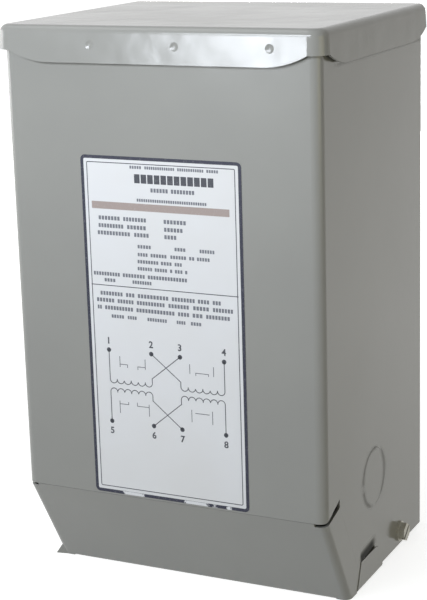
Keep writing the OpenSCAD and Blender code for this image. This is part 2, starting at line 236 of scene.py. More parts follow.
@dataclass(frozen=True)
class BakedEnamel(Finish):
    """Satin grey baked enamel on sheet steel.

    Sprayed and baked paint shows a faint orange peel, slow shifts of tone where the coat is thicker, a
    little dust, and a panel that isn't quite flat. Painted shade, dark and rougher than the coat, lies in the
    sheared line round each knockout, in the hollow over each bottom flange and under the lip of the cover.

    Attributes:
        cloud: Width of the slow shifts of tone.
        dust: Share of dust where it lies thickest.
        gloss: Lowest and highest roughness of the satin surface.
        dirt_gloss: Roughness added where shade is painted.
        wave: Width and depth of the unevenness of the sheet.
        ripple: Width and depth of the small ripples that folding leaves in the cover.
        peel: Width and depth of the orange peel, drawn coarser than real so that it shows.
        side: Distance of the side panels from the middle, less a little.
        knockout: Place of each knockout's middle, back and up.
        knockout_r: Radius of the sheared line round it.
        line_core: Distance from that line up to which its painted shade is darkest.
        line_reach: Distance at which it ends, level with the knockout's middle and at its top.
        line_share: Share of painted shade where it is darkest.
        closed: Places round it, in degrees, where paint has closed that line, and how far it has.
        closed_core: Part of that way in which nearly no painted shade is left.
        closed_share: Part of the painted shade that is left there.
        hollow: Start and end of the hollow over each bottom flange, back and up.
        hollow_fade: Distances over the hollow's edge at which its painted shade begins to fade and ends.
        hollow_ends: Distances from its start, and from its end, between which its painted shade comes and
            goes.
        lip: Height of the lower edge of the cover's lip.
        lip_line: Distances under that edge at which the painted shadow line ends and is darkest.
        lip_share: Share of painted shadow in that line.
        lip_start: Places, from the front to the back, where that line begins and is whole.
    """

    cloud: float = 55 * MM
    dust: float = 0.45
    gloss: Pair = (0.145, 0.205)
    dirt_gloss: float = 0.7
    wave: Pair = (85 * MM, 0.9 * MM)
    ripple: Pair = (13 * MM, 0.3 * MM)
    peel: Pair = (2.2 * MM, 0.04 * MM)
    side: float = 75.6 * MM
    knockout: Point = (-3.4 * MM, 49.3 * MM)
    knockout_r: float = 13.95 * MM
    line_core: float = 0.6 * MM
    line_reach: Pair = (4.2 * MM, 1.4 * MM)
    line_share: float = 0.4
    closed: tuple[Pair, ...] = ((62, 4.6 * MM), (186, 2.4 * MM), (279, 8.5 * MM))
    closed_core: float = 0.4
    closed_share: float = 0.05
    hollow: tuple[Point, Point] = ((-21.3 * MM, 13.6 * MM), (-3.0 * MM, 15.1 * MM))
    hollow_fade: Pair = (2 * MM, 6 * MM)
    hollow_ends: tuple[Pair, Pair] = ((-1.5 * MM, 0.5 * MM), (-4 * MM, 3 * MM))
    lip: float = 246.9 * MM
    lip_line: Pair = (2 * MM, 1 * MM)
    lip_share: float = 0.3
    lip_start: Pair = (-50 * MM, -43 * MM)

    def paint(self, nodes: Nodes) -> Inputs:
        """Draws the paint.

        Args:
            nodes: Nodes of the material.

        Returns:
            The inputs of its shader.
        """
        cloud = nodes.add("TexNoise", {"Vector": nodes.place, "Scale": 1 / self.cloud, "Detail": 5.0})
        dusty = nodes.add(
            "MapRange", {"Value": cloud, "From Min": 0.38, "From Max": 0.68, "To Max": self.dust}
        )
        coat = nodes.add(
            "Mix", {SHARE: dusty, FROM: Tone.ENAMEL, TO: Tone.ENAMEL_DUSTY}, MIXED, data_type="RGBA"
        )
        # Painted shade: a dark colour mixed over the coat in the knockout grooves, over the bottom flanges
        # and under the lip.
        dirt = self.dirt(nodes)
        colour = nodes.add("Mix", {SHARE: dirt, FROM: coat, TO: Tone.GRIME}, MIXED, data_type="RGBA")
        low, high = self.gloss
        gloss = nodes.add(
            "MapRange", {"Value": cloud, "From Min": 0.3, "From Max": 0.7, "To Min": low, "To Max": high}
        )
        rough = nodes.add("Math", {0: dirt, 1: self.dirt_gloss, 2: gloss}, operation="MULTIPLY_ADD")
        return {"Base Color": colour, "Roughness": rough, "Normal": self.uneven(nodes), "IOR": 1.5}

    def uneven(self, nodes: Nodes) -> Socket:
        """Draws the unevenness of the sheet, the ripples in the cover and the orange peel.

        Args:
            nodes: Nodes of the material.

        Returns:
            A socket with the normal.
        """
        under_lip = self.lip - 6 * MM
        in_cover = nodes.add(
            "MapRange", {"Value": nodes.axes["Z"], "From Min": under_lip, "From Max": self.lip, "To Max": 0.6}
        )
        normal: Inputs = {}
        for (width, depth), detail, strength in (
            (self.wave, 1.0, 0.5),
            (self.ripple, 1.0, in_cover),
            (self.peel, 2.0, 0.35),
        ):
            height = nodes.add("TexNoise", {"Vector": nodes.place, "Scale": 1 / width, "Detail": detail})
            layer = {"Height": height, "Strength": strength, "Distance": depth}
            normal = {"Normal": nodes.add("Bump", layer | normal)}
        return normal["Normal"]

    def dirt(self, nodes: Nodes) -> Socket:
        """Draws the painted shade on the side panels.

        Args:
            nodes: Nodes of the material.

        Returns:
            The share of painted shade, from 0 to 1.
        """
        out = nodes.add("Math", {0: nodes.axes["X"]}, operation="ABSOLUTE")
        on_side = nodes.add("Math", {0: out, 1: self.side}, operation="GREATER_THAN")
        share = self.sheared_line(nodes)
        for other in (self.hollow_dirt(nodes), self.lip_dirt(nodes)):
            share = nodes.add("Math", {0: share, 1: other}, operation="MAXIMUM")
        return nodes.add("Math", {0: share, 1: on_side}, operation="MULTIPLY")

    def sheared_line(self, nodes: Nodes) -> Socket:
        """Draws painted shade along the sheared line round a knockout, widest at its front and back.

        Args:
            nodes: Nodes of the material.

        Returns:
            The share of painted shade, from 0 to 1.
        """
        back, up = self.knockout
        flat = nodes.add("CombineXYZ", {"Y": nodes.axes["Y"], "Z": nodes.axes["Z"]})
        away = nodes.add("VectorMath", {0: flat, 1: (0, back, up)}, "Value", operation="DISTANCE")
        off = nodes.add("Math", {0: away, 1: self.knockout_r}, operation="SUBTRACT")
        near = nodes.add("Math", {0: off}, operation="ABSOLUTE")
        height = nodes.add("Math", {0: nodes.axes["Z"], 1: up}, operation="SUBTRACT")
        level = nodes.add("Math", {0: height}, operation="ABSOLUTE")
        wide, narrow = self.line_reach
        reach = nodes.add(
            "MapRange", {"Value": level, "From Max": self.knockout_r, "To Min": wide, "To Max": narrow}
        )
        share = nodes.add(
            "MapRange",
            {"Value": near, "From Min": reach, "From Max": self.line_core, "To Max": self.line_share},
            interpolation_type="SMOOTHSTEP",
        )
        for degrees, shut in self.closed:
            angle = math.radians(degrees)
            on_line = (0, back + self.knockout_r * math.cos(angle), up + self.knockout_r * math.sin(angle))
            apart = nodes.add("VectorMath", {0: flat, 1: on_line}, "Value", operation="DISTANCE")
            core = self.closed_core * shut
            clear = nodes.add(
                "MapRange",
                {"Value": apart, "From Min": core, "From Max": shut, "To Min": self.closed_share},
            )
            share = nodes.add("Math", {0: share, 1: clear}, operation="MULTIPLY")
        return share

    def lip_dirt(self, nodes: Nodes) -> Socket:
        """Draws a thin painted shadow line on the side panels under the lip of the cover.

        Args:
            nodes: Nodes of the material.

        Returns:
            The share of painted shadow, from 0 to 1.
        """
        back, up = nodes.axes["Y"], nodes.axes["Z"]
        low, high = (self.lip - under for under in self.lip_line)
        first, whole = self.lip_start
        line = nodes.add(
            "MapRange", {"Value": up, "From Min": low, "From Max": high, "To Max": self.lip_share}
        )
        below = nodes.add("Math", {0: up, 1: self.lip}, operation="LESS_THAN")
        behind = nodes.add("MapRange", {"Value": back, "From Min": first, "From Max": whole})
        share = nodes.add("Math", {0: line, 1: below}, operation="MULTIPLY")
        return nodes.add("Math", {0: share, 1: behind}, operation="MULTIPLY")

    def hollow_dirt(self, nodes: Nodes) -> Socket:
        """Draws painted shade that fades out over a bottom flange.

        Args:
            nodes: Nodes of the material.

        Returns:
            The share of painted shade, from 0 to 1.
        """
        back, up = nodes.axes["Y"], nodes.axes["Z"]
        (start, low), (end, high) = self.hollow
        full, gone = self.hollow_fade
        (before, after), (last, past) = self.hollow_ends
        edge = nodes.add(
            "MapRange", {"Value": back, "From Min": start, "From Max": end, "To Min": low, "To Max": high}
        )
        over = nodes.add("Math", {0: up, 1: edge}, operation="SUBTRACT")
        above = nodes.add("Math", {0: over, 1: -0.1 * MM}, operation="GREATER_THAN")
        begin = nodes.add(
            "MapRange", {"Value": back, "From Min": start + before, "From Max": start + after}
        )
        share = nodes.add("Math", {0: above, 1: begin}, operation="MULTIPLY")
        for value, outside, inside in ((over, gone, full), (back, end + past, end + last)):
            fade = nodes.add(
                "MapRange",
                {"Value": value, "From Min": outside, "From Max": inside},
                interpolation_type="SMOOTHSTEP",
            )
            share = nodes.add("Math", {0: share, 1: fade}, operation="MULTIPLY")
        return share


@dataclass(frozen=True)
class ZincPlate(Finish):
    """Yellow-passivated zinc plate on a rolled screw.

    The passivation gives a straw tint in uneven clouds over a bright metal, dulled by fine handling marks.

    Attributes:
        cloud: Width of the clouds in the yellow tint.
        mark: Width and depth of the handling marks.
        gloss: Lowest and highest roughness.
    """

    cloud: float = 2.4 * MM
    mark: Pair = (0.5 * MM, 0.05 * MM)
    gloss: Pair = (0.28, 0.52)

    def paint(self, nodes: Nodes) -> Inputs:
        """Draws the plating.

        Args:
            nodes: Nodes of the material.

        Returns:
            The inputs of its shader.
        """
        width, depth = self.mark
        low, high = self.gloss
        cloud = nodes.add("TexNoise", {"Vector": nodes.place, "Scale": 1 / self.cloud, "Detail": 3.0})
        mark = nodes.add("TexNoise", {"Vector": nodes.place, "Scale": 1 / width, "Detail": 2.0})
        tint = nodes.add(
            "Mix", {SHARE: cloud, FROM: Tone.ZINC, TO: Tone.ZINC_YELLOW}, MIXED, data_type="RGBA"
        )
        dull = nodes.add("MapRange", {"Value": mark, "From Min": 0.5, "From Max": 0.72})
        colour = nodes.add("Mix", {SHARE: dull, FROM: tint, TO: Tone.ZINC_DULL}, MIXED, data_type="RGBA")
        gloss = nodes.add("MapRange", {"Value": mark, "To Min": low, "To Max": high})
        skin = nodes.add("Bump", {"Height": mark, "Strength": 0.3, "Distance": depth})
        return {"Base Color": colour, "Roughness": gloss, "Normal": skin, "Metallic": 1.0}


@dataclass(frozen=True)
class PottingResin(Finish):
    """Sand-filled potting resin, poured round the core and left as it set.

    It is a dark, matt mass with pale grains of sand in it and a slightly lumpy surface.

    Attributes:
        grain: Width of a grain of sand, drawn coarser than real so that it shows.
        sand: Share of a pale grain's own colour at its middle.
        lump: Width and depth of the lumps in the surface.
        gloss: Lowest and highest roughness.
    """

    grain: float = 1.1 * MM
    sand: float = 0.7
    lump: Pair = (9 * MM, 0.8 * MM)
    gloss: Pair = (0.6, 0.9)

    def paint(self, nodes: Nodes) -> Inputs:
        """Draws the resin.

        Args:
            nodes: Nodes of the material.

        Returns:
            The inputs of its shader.
        """
        width, depth = self.lump
        low, high = self.gloss
        grain = nodes.add("TexVoronoi", {"Vector": nodes.place, "Scale": 1 / self.grain}, "Distance")
        lump = nodes.add("TexNoise", {"Vector": nodes.place, "Scale": 1 / width, "Detail": 4.0})
        sand = nodes.add("MapRange", {"Value": grain, "From Min": 0.32, "From Max": 0.1, "To Max": self.sand})
        colour = nodes.add(
            "Mix", {SHARE: sand, FROM: Tone.RESIN, TO: Tone.RESIN_SAND}, MIXED, data_type="RGBA"
        )
        rough = nodes.add("MapRange", {"Value": lump, "To Min": low, "To Max": high})
        skin = nodes.add("Bump", {"Height": lump, "Strength": 0.6, "Distance": depth})
        return {"Base Color": colour, "Roughness": rough, "Normal": skin}


@dataclass(frozen=True)
class LabelFilm(Finish):
    """White gloss polyester label film, stuck on by hand.

    It is brighter and smoother than the paint, slightly cool, with a faint yellowing and long low ripples.

    Attributes:
        ripple: Width and depth of the ripples in the film.
        age: Width of the patches that have yellowed.
        gloss: Lowest and highest roughness.
    """

    ripple: Pair = (28 * MM, 0.25 * MM)
    age: float = 40 * MM
    gloss: Pair = (0.18, 0.26)

    def paint(self, nodes: Nodes) -> Inputs:
        """Draws the film.

        Args:
            nodes: Nodes of the material.

        Returns:
            The inputs of its shader.
        """
        width, depth = self.ripple
        low, high = self.gloss
        ripple = nodes.add("TexNoise", {"Vector": nodes.place, "Scale": 1 / width, "Detail": 2.0})
        age = nodes.add("TexNoise", {"Vector": nodes.place, "Scale": 1 / self.age, "Detail": 3.0})
        aged = nodes.add(
            "MapRange", {"Value": age, "From Min": 0.25, "From Max": 0.8}, interpolation_type="SMOOTHSTEP"
        )
        colour = nodes.add("Mix", {SHARE: aged, FROM: Tone.FILM, TO: Tone.FILM_AGED}, MIXED, data_type="RGBA")
        gloss = nodes.add("MapRange", {"Value": age, "To Min": low, "To Max": high})
        skin = nodes.add("Bump", {"Height": ripple, "Strength": 0.35, "Distance": depth})
        return {"Base Color": colour, "Roughness": gloss, "Normal": skin, "IOR": 1.55}


@dataclass(frozen=True)
class PrintInk(Finish):
    """One screen-printed ink on the label film.

    Screen printing leaves a solid, slightly duller layer with tiny pale pinholes in it.

    Attributes:
        tone: Colour of the ink.
        pinhole: Width of the mottling that the pinholes give, drawn coarser than real so that it shows.
        bare: Share of bare film where the pinholes are closest.
        gloss: Lowest and highest roughness.
        rubbed: Stretches from left to right where the ink has been rubbed off.
        rubbed_top: Height up to which it has been rubbed off there.
        fray: How far the ends of those stretches are frayed.
        soft: Half the width over which the ink ends there.
    """

    tone: Tone
    pinhole: float = 0.7 * MM
    bare: float = 0.12
    gloss: Pair = (0.3, 0.45)
    rubbed: tuple[Pair, ...] = ()
    rubbed_top: float = 0.0
    fray: float = 4 * MM
    soft: float = 0.5 * MM

    def paint(self, nodes: Nodes) -> Inputs:
        """Draws the ink.

        Args:
            nodes: Nodes of the material.

        Returns:
            The inputs of its shader.
        """
        low, high = self.gloss
        grain = nodes.add("TexNoise", {"Vector": nodes.place, "Scale": 1 / self.pinhole, "Detail": 2.0})
        holes = nodes.add(
            "MapRange", {"Value": grain, "From Min": 0.56, "From Max": 0.8, "To Max": self.bare}
        )
        white = nodes.add("Math", {0: holes, 1: self.rubbed_off(nodes, grain)}, operation="MAXIMUM")
        colour = nodes.add("Mix", {SHARE: white, FROM: self.tone, TO: Tone.FILM}, MIXED, data_type="RGBA")
        gloss = nodes.add("MapRange", {"Value": grain, "To Min": low, "To Max": high})
        return {"Base Color": colour, "Roughness": gloss}

    def rubbed_off(self, nodes: Nodes, uneven: Socket) -> Socket | float:
        """Draws where the ink has been rubbed off.

        Args:
            nodes: Nodes of the material.
            uneven: A noise round one half that frays the ends of each bare stretch.

        Returns:
            The share of bare film, from 0 to 1: a socket, or 0 where the ink is whole.
        """
        if not self.rubbed:
            return 0.0
        frayed = nodes.add("Math", {0: uneven, 1: self.fray, 2: nodes.axes["X"]}, operation="MULTIPLY_ADD")
        share = 0.0
        for left, right in self.rubbed:
            middle = (left + right + self.fray) / 2
            half = (right - left) / 2
            off = nodes.add("Math", {0: frayed, 1: middle}, operation="SUBTRACT")
            near = nodes.add("Math", {0: off}, operation="ABSOLUTE")
            bare = nodes.add(
                "MapRange", {"Value": near, "From Min": half + self.soft, "From Max": half - self.soft}
            )
            share = nodes.add("Math", {0: bare, 1: share}, operation="MAXIMUM")
        low = nodes.add("Math", {0: nodes.axes["Z"], 1: self.rubbed_top}, operation="LESS_THAN")
        return nodes.add("Math", {0: share, 1: low}, operation="MULTIPLY")


@dataclass(frozen=True)
class PaleFloor(Finish):
    """Matt pale studio floor with barely visible clouds, which turns into the white of the surroundings.

    Attributes:
        cloud: Width of the clouds.
        near: Distance from the middle up to which the floor shows its own shade and shadow.
        far: Distance from the middle at which it has turned white to the eye.
        lift: Glow that the eye sees in the floor near the middle, where 1 is white.
    """

    cloud: float = 300 * MM
    near: float = 180 * MM
    far: float = 500 * MM
    lift: float = 0.8

    def paint(self, nodes: Nodes) -> Inputs:
        """Draws the floor.

        Args:
            nodes: Nodes of the material.

        Returns:
            The inputs of its shader.
        """
        cloud = nodes.add("TexNoise", {"Vector": nodes.place, "Scale": 1 / self.cloud})
        colour = nodes.add(
            "Mix", {SHARE: cloud, FROM: Tone.FLOOR, TO: Tone.FLOOR_CLOUDY}, MIXED, data_type="RGBA"
        )
        away = nodes.add("VectorMath", {0: nodes.place}, "Value", operation="LENGTH")
        white = nodes.add(
            "MapRange", {"Value": away, "From Min": self.near, "From Max": self.far, "To Min": self.lift}
        )
        glow = nodes.add("Math", {0: white, 1: nodes.shown_rays()}, operation="MULTIPLY")
        return {"Base Color": colour, "Roughness": 0.9, "Emission Color": WHITE, "Emission Strength": glow}


ENAMEL = BakedEnamel("grey_baked_enamel_sprayed", "grey_enamel")
ZINC = ZincPlate("zinc_plate_yellow_passivated", "zinc_plate")
RESIN = PottingResin("potting_resin_sand_filled", "potting_resin")
FILM = LabelFilm("polyester_label_film_gloss", "label_film")
NAVY_INK = PrintInk(
    "navy_ink_screen_printed",
    "label_film",
    Tone.NAVY,
    rubbed=((-24.1 * MM, -13.7 * MM), (7.5 * MM, 18.8 * MM), (22 * MM, 23 * MM), (28.5 * MM, 30.5 * MM)),
    rubbed_top=49.8 * MM,
)
TAN_INK = PrintInk("tan_ink_screen_printed", "label_film", Tone.TAN)
CHARCOAL_INK = PrintInk("charcoal_ink_screen_printed", "label_film", Tone.CHARCOAL)
GREY_INK = PrintInk("grey_ink_screen_printed", "label_film", Tone.GREY_INK)
FLOOR = PaleFloor("studio_floor_matt", "")


def deselect() -> None:
    """Leaves edit mode and deselects everything, so that an operator meets only the new piece."""
    if bpy.context.object and bpy.context.object.mode != "OBJECT":
        bpy.ops.object.mode_set(mode="OBJECT")
    bpy.ops.object.select_all(action="DESELECT")


def select(piece: Piece) -> None:
    """Makes a piece the only one that is selected, and the active one.

    Args:
        piece: The piece.
    """
    deselect()
    piece.select_set(True)
    bpy.context.view_layer.objects.active = piece


def edit_all() -> None:
    """Enters edit mode on the active piece, with all of its mesh selected."""
    bpy.ops.object.mode_set(mode="EDIT")
    bpy.ops.mesh.select_all(action="SELECT")


def settle() -> None:
    """Puts the place, turn and scale of the selected piece into its mesh."""
    bpy.ops.object.transform_apply(location=True, rotation=True, scale=True)


def flat_bar(width: float, height: float, at: Point, turn: float = 0.0) -> Piece:
    """Models one flat bar with square ends, face up.

    Args:
        width: Size along x, before it is turned.
        height: Size along y, before it is turned.
        at: Place of its middle.
        turn: Angle about z, in radians.

    Returns:
        The bar, one face thick.
    """
    deselect()
    bpy.ops.mesh.primitive_plane_add(size=1, location=(*at, 0), rotation=(0, 0, turn))
    bar = bpy.context.object
    bar.scale = (width, height, 1)
    settle()
    return bar


def flat_plate(width: float, height: float, corner: float, at: Point, line: float = 0.0) -> Piece:
    """Models one flat plate or frame with round corners, face up.

    Args:
        width: Size along x.
        height: Size along y.
        corner: Radius of the corners.
        at: Place of its middle.
        line: Width of the frame's own line, or 0 for a whole plate.

    Returns:
        The plate or frame, one face thick.
    """
    plate = flat_bar(width, height, at)
    edit_all()
    bpy.ops.mesh.bevel(offset=corner, segments=5, affect="VERTICES")
    if line:
        bpy.ops.mesh.select_all(action="SELECT")
        bpy.ops.mesh.inset(thickness=line)
        bpy.ops.mesh.delete(type="FACE")
    bpy.ops.object.mode_set(mode="OBJECT")
    return plate


def flat_line(start: Point, end: Point, line: float) -> Piece:
    """Models a straight drawn line, face up, with square ends.

    Args:
        start: Its first point.
        end: Its last point.
        line: Width of the line.

    Returns:
        The line, one face thick.
    """
    run = Vector(end) - Vector(start)
    middle = (Vector(end) + Vector(start)) / 2
    return flat_bar(run.length + line, line, (middle.x, middle.y), math.atan2(run.y, run.x))


def flat_dot(at: Point, radius: float) -> Piece:
    """Models one round dot, face up.

    Args:
        at: Place of its middle.
        radius: Radius of the dot.

    Returns:
        The dot, one face thick.
    """
    deselect()
    bpy.ops.mesh.primitive_circle_add(vertices=20, radius=radius, fill_type="NGON", location=(*at, 0))
    settle()
    return bpy.context.object


def flat_winding(start: Point, length: float, bows: int, side: Side, line: float) -> Piece:
    """Models a drawn winding: a row of half-round bows, each spun from the end of the one before.

    Args:
        start: Left end of the row.
        length: Length of the row.
        bows: Number of bows.
        side: Which way the bows hang.
        line: Width of the line.

    Returns:
        The winding, one face thick, face up.
    """
    left, level = start
    radius = length / bows / 2
    winding = flat_bar(line, line, start)
    bpy.ops.object.mode_set(mode="EDIT")
    bpy.ops.mesh.select_mode(type="EDGE")
    bpy.ops.mesh.select_all(action="DESELECT")
    bpy.ops.object.mode_set(mode="OBJECT")
    for edge in winding.data.edges:
        ends = [winding.data.vertices[i].co.y for i in edge.vertices]
        edge.select = all(side.value * (y - level) > 0 for y in ends)
    bpy.ops.object.mode_set(mode="EDIT")
    for bow in range(bows):
        middle = (left + (2 * bow + 1) * radius, level, 0)
        bpy.ops.mesh.spin(steps=10, angle=math.pi, center=middle, axis=(0, 0, side.value))
    bpy.ops.object.mode_set(mode="OBJECT")
    return winding


def flat_numeral(digit: str, at: Point, height: float) -> Piece:
    """Models one printed digit, face up.

    Args:
        digit: The digit.
        at: Place of its middle.
        height: Height of the digit.

    Returns:
        The digit as a mesh, one face thick.
    """
    height_of_font = 0.7
    fattening = 0.035
    deselect()
    bpy.ops.object.text_add(location=(*at, 0))
    numeral = bpy.context.object
    numeral.data.body = digit
    numeral.data.size = height / height_of_font
    numeral.data.offset = fattening * height
    numeral.data.align_x = "CENTER"
    numeral.data.align_y = "CENTER"
    bpy.ops.object.convert(target="MESH")
    settle()
    return bpy.context.object


def flat_word(left: float, right: float, up: float, tall: float, bold: float = 0.74) -> Piece:
    """Models one printed word as a row of plain blocks, one in the place of each letter.

    Args:
        left: Left end of the word.
        right: Right end of the word.
        up: Height of its middle.
        tall: Height of the blocks.
        bold: Share of the row that the blocks fill.

    Returns:
        The word, one face thick, face up.
    """
    usual_pitch = 0.83 * tall
    corner = 0.15 * MM
    letters = max(1, round((right - left) / usual_pitch))
    pitch = (right - left) / letters
    block = bold * pitch
    word = flat_plate(block, tall, corner, (left + block / 2, up))
    row = word.modifiers.new("letters", "ARRAY")
    row.count = letters
    row.use_relative_offset = False
    row.use_constant_offset = True
    row.constant_offset_displace = (pitch, 0, 0)
    bpy.ops.object.modifier_apply(modifier=row.name)
    return word


def joined(name: str, flats: list[Piece]) -> Piece:
    """Joins flat pieces into one.

    Args:
        name: Name of the piece.
        flats: The flat pieces.

    Returns:
        The one piece.
    """
    select(flats[0])
    for flat in flats[1:]:
        flat.select_set(True)
    if len(flats) > 1:
        bpy.ops.object.join()
    piece = bpy.context.object
    piece.name = name
    piece.data.name = name
    return piece


def thicken(piece: Piece, low: float, high: float) -> None:
    """Gives a flat piece its thickness.

    Args:
        piece: The flat piece, face up at z = 0.
        low: Height of its underside.
        high: Height of its upper side.
    """
    select(piece)
    edit_all()
    bpy.ops.transform.translate(value=(0, 0, low))
    bpy.ops.mesh.extrude_region_move(TRANSFORM_OT_translate={"value": (0, 0, high - low)})
    bpy.ops.mesh.select_all(action="SELECT")
    bpy.ops.mesh.normals_make_consistent(inside=False)
    bpy.ops.object.mode_set(mode="OBJECT")


def set_on_case(piece: Piece, finish: Finish, turn: float, at: Place) -> None:
    """Stands a new piece up against a panel, dresses it and hangs it on the part's one body.

    Args:
        piece: The new piece, face up.
        finish: Its finish.
        turn: Angle from the front to the panel, in radians.
        at: Where its origin goes.
    """
    select(piece)
    piece.rotation_euler = (QUARTER_TURN, 0, turn)
    piece.location = at
    settle()
    finish.dress(piece)
    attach(piece, BODY)
    LOG.info("%s: %d faces, %s", piece.name, len(piece.data.polygons), finish.name)


@dataclass
class Enclosure:
    """The solids of the part, each with its real finish.

    Attributes:
        painted: Nodes of painted sheet steel.
        plated: Nodes of zinc-plated steel.
        cast: Nodes of cast resin.
    """

    painted: tuple[str, ...] = (
        "case", "back_panel", "top_cover", "sloped_front", "bottom_cover", "right_knockout", "left_knockout"
    )
    plated: tuple[str, ...] = ("right_cover_screw", "left_cover_screw")
    cast: tuple[str, ...] = ("potted_core",)

    def dress(self) -> None:
        """Gives every solid its finish."""
        for names, finish in ((self.painted, ENAMEL), (self.plated, ZINC), (self.cast, RESIN)):
            for name in names:
                finish.dress(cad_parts[name])
                LOG.info("%s: %s", name, finish.name)


@dataclass
class KnockoutPaint:
    """Paint that has run into the sheared line round each knockout, between its ties, and nearly fills it.

    Attributes:
        inner: Inside radius of the paint.
        outer: Outside radius of the paint.
        sunk: Depth of its surface below the side panel.
        thick: Thickness of the paint.
        ties: Places of the ties round the knockout, in degrees.
        tie: Angle left free to each side of a tie's middle, in degrees.
    """

    inner: float = 13.8 * MM
    outer: float = 14.05 * MM
    sunk: float = 0.02 * MM
    thick: float = 0.3 * MM
    ties: tuple[float, ...] = (75, 190, 292)
    tie: float = 10

    def build(self) -> None:
        """Models the paint of both knockouts and sets it in the side panels."""
        _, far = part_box("case")
        for panel in Panel:
            piece = joined(f"{panel.name.lower()}_knockout_paint", [self.flat_arcs(panel)])
            thicken(piece, -self.sunk - self.thick, -self.sunk)
            middle = (panel.value * far.x, *ENAMEL.knockout)
            set_on_case(piece, ENAMEL, panel.value * QUARTER_TURN, middle)

    def flat_arcs(self, panel: Panel) -> Piece:
        """Models the arcs between the ties, face up.

        Args:
            panel: The side panel that they are for.

        Returns:
            The arcs, one face thick.
        """
        deselect()
        bpy.ops.mesh.primitive_circle_add(vertices=144, radius=self.inner)
        arcs = bpy.context.object
        edit_all()
        bpy.ops.mesh.extrude_region_move()
        bpy.ops.transform.resize(value=(self.outer / self.inner, self.outer / self.inner, 1))
        bpy.ops.mesh.select_mode(type="FACE")
        bpy.ops.mesh.select_all(action="DESELECT")
        bpy.ops.object.mode_set(mode="OBJECT")
        for face in arcs.data.polygons:
            at = math.degrees(math.atan2(face.center.y, panel.value * face.center.x))
            face.select = any(abs((at - tie + 180) % 360 - 180) < self.tie for tie in self.ties)
        bpy.ops.object.mode_set(mode="EDIT")
        bpy.ops.mesh.delete(type="FACE")
        # The mode stays for the next piece, and a bare circle has nothing to select as a face.
        bpy.ops.mesh.select_mode(type="VERT")
        bpy.ops.object.mode_set(mode="OBJECT")
        return arcs


# Rows of the label's small print, in millimetres: height of the row's middle over the label's lower edge,
# height of its blocks, and the left and right end of each word from the label's middle.
TEXT_ROWS = (
    (153.4, 1.32, ((-14.6, -8.6), (-7.2, 7.6), (8.8, 21.6), (22.8, 28.6))),
    (143.6, 1.8, ((-4.6, 4.2), (5.4, 17.0))),
    (138.9, 1.32, ((-11.6, 22.6),)),
    (130.0, 1.8, ((-31.2, -20.2), (-18.8, -7.1), (1.3, 12.5))),
    (126.5, 1.8, ((-31.4, -18.6), (-17.0, -7.3), (1.4, 10.8))),
    (123.2, 1.8, ((-32.0, -15.4), (-13.6, -6.0), (1.4, 7.6))),
    (118.0, 1.56, ((-12.1, -5.2), (6.2, 11.8), (18.4, 25.8))),
    (114.4, 1.56, ((-12.2, -7.0), (-5.8, 2.4), (4.0, 12.0), (13.2, 16.0), (17.0, 23.4))),
    (111.2, 1.56, ((-12.4, -1.8), (-0.8, 4.8), (6.0, 9.8))),
    (108.0, 1.56, ((-12.5, -5.0), (-4.0, 2.4), (3.6, 5.0), (6.0, 10.0), (11.0, 12.4))),
    (104.4, 1.68, ((-35.0, -21.4), (-20.2, -8.8), (-7.6, 12.1))),
    (101.6, 1.56, ((-29.6, -23.8), (-15.4, -5.6))),
    (95.4, 1.8, ((-32.0, -20.4), (-19.0, -14.4), (-13.0, 2.6), (4.0, 15.6), (16.8, 22.6), (24.0, 28.2))),
    (92.2, 1.8, ((-34.0, -24.8), (-23.4, -15.0), (-13.6, 0.6), (2.2, 12.6), (14.4, 22.4), (24.0, 34.0))),
    (88.8, 1.8, ((-33.8, -31.4), (-30.0, -15.4), (-14.0, 5.4), (6.8, 12.6), (14.0, 19.2), (20.6, 32.4))),
    (85.0, 1.56, ((-26.8, -20.2), (-18.6, -13.8), (-8.6, 1.4), (6.0, 10.6), (13.0, 18.4))),
)

# Both ends of each thin line beside the windings, across and up in millimetres.
LINK_MARKS = (
    ((-23.6, 66.3), (-23.6, 61.5)), ((-23.6, 62.7), (-19.8, 62.7)),
    ((-19.8, 62.7), (-19.8, 61.4)), ((-14.5, 62.3), (-10.7, 62.3)),
    ((-14.5, 62.3), (-14.5, 61.0)), ((-10.7, 66.0), (-10.7, 61.5)),
    ((11.7, 66.1), (11.7, 61.9)), ((14.6, 62.4), (20.9, 62.4)),
    ((14.6, 62.4), (14.6, 61.3)), ((20.9, 62.4), (20.9, 61.5)),
    ((23.4, 65.9), (23.4, 61.7)), ((-24.5, 45.1), (-24.5, 39.5)),
    ((-24.5, 43.8), (-20.0, 43.8)), ((-20.0, 44.9), (-20.0, 43.8)),
    ((-15.5, 43.6), (-9.5, 43.6)), ((-15.5, 45.1), (-15.5, 43.6)),
    ((-9.5, 44.8), (-9.5, 39.5)), ((12.0, 44.9), (12.0, 39.4)),
    ((13.9, 43.6), (20.7, 43.6)), ((22.3, 45.2), (22.3, 39.3)),
)


